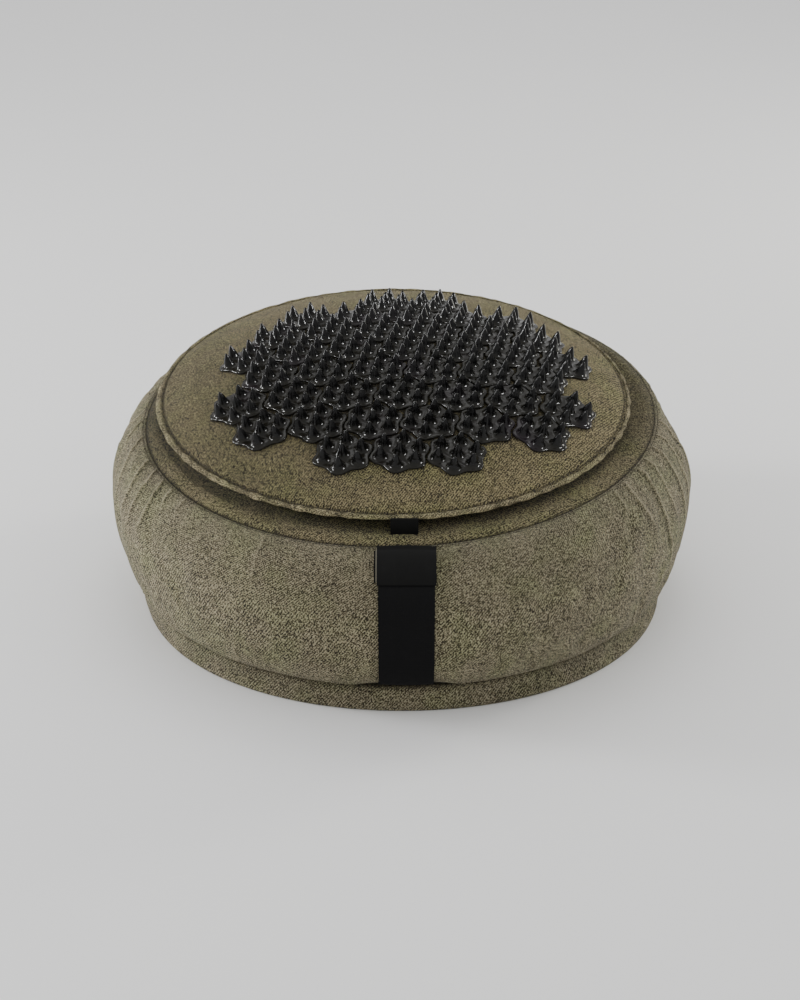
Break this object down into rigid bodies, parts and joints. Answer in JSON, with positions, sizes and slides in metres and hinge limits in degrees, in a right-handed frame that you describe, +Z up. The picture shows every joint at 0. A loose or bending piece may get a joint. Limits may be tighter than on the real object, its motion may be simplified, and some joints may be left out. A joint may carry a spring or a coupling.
{
  "type": "meditation cushion",
  "caption": "Round grain-filled floor cushion with a carry strap and a lift-off top pad set with rows of small spike discs.",
  "frame": {"origin": "centre of the flat underside, on the floor", "axes": "+Z up, +X to the right as seen from the strap, +Y away from the strap"},
  "size_m": [0.38, 0.38, 0.1788],
  "materials": {
    "canvas": "heathered twill, matte",
    "webbing": "matte woven tape",
    "satin": "satin, bare",
    "cotton": "plain cotton lining",
    "hulls": "loose grain hulls",
    "foam": "open foam",
    "plastic": "glossy, smoky",
    "zip_cloth": "matte woven tape",
    "zip_coil": "nylon coil",
    "metal": "dark nickel"
  },
  "bodies": {
    "cushion": {"base_panel": "canvas", "side_wall": "canvas", "top_panel": "canvas", "inner_liner": "cotton", "buckwheat_fill": "hulls", "zip_tape_lower": "zip_cloth", "zip_tape_upper": "zip_cloth", "zip_teeth": "zip_coil"},
    "pad": {"pad_bottom_cover": "canvas", "pad_foam": "foam", "pad_top_cover": "canvas", "pad_edge_roll": "canvas", "spike_row_1": "plastic", "spike_row_2": "plastic", "spike_row_3": "plastic", "spike_row_4": "plastic", "spike_row_5": "plastic", "spike_row_6": "plastic", "spike_row_7": "plastic", "spike_row_8": "plastic"},
    "tab": {"pull_tab": "webbing"},
    "strap": {"carry_strap": "webbing", "strap_label": "satin"},
    "slider": {"zip_slider": "metal"},
    "pull": {"zip_pull": "metal"}
  },
  "joints": [
    {"name": "pad_lift", "type": "slide", "parent": "cushion", "child": "pad", "axis": [0, 0, 1], "range_m": [0, 0.12]},
    {"name": "tab_swing", "type": "hinge", "parent": "pad", "child": "tab", "pos_m": [0.0026, -0.1562, 0.12061], "axis": [-1, 0, 0], "range_deg": [0, 150]},
    {"name": "strap_bow", "type": "slide", "parent": "cushion", "child": "strap", "axis": [0, -1, 0], "range_m": [0, 0.02]},
    {"name": "slider_run", "type": "hinge", "parent": "cushion", "child": "slider", "pos_m": [0, 0, 0.0086], "axis": [0, 0, -1], "range_deg": [0, 70]},
    {"name": "pull_swing", "type": "hinge", "parent": "slider", "child": "pull", "pos_m": [-0.10359, 0.14794, 0.0086], "axis": [0, 0, 1], "range_deg": [0, 150]}
  ]
}
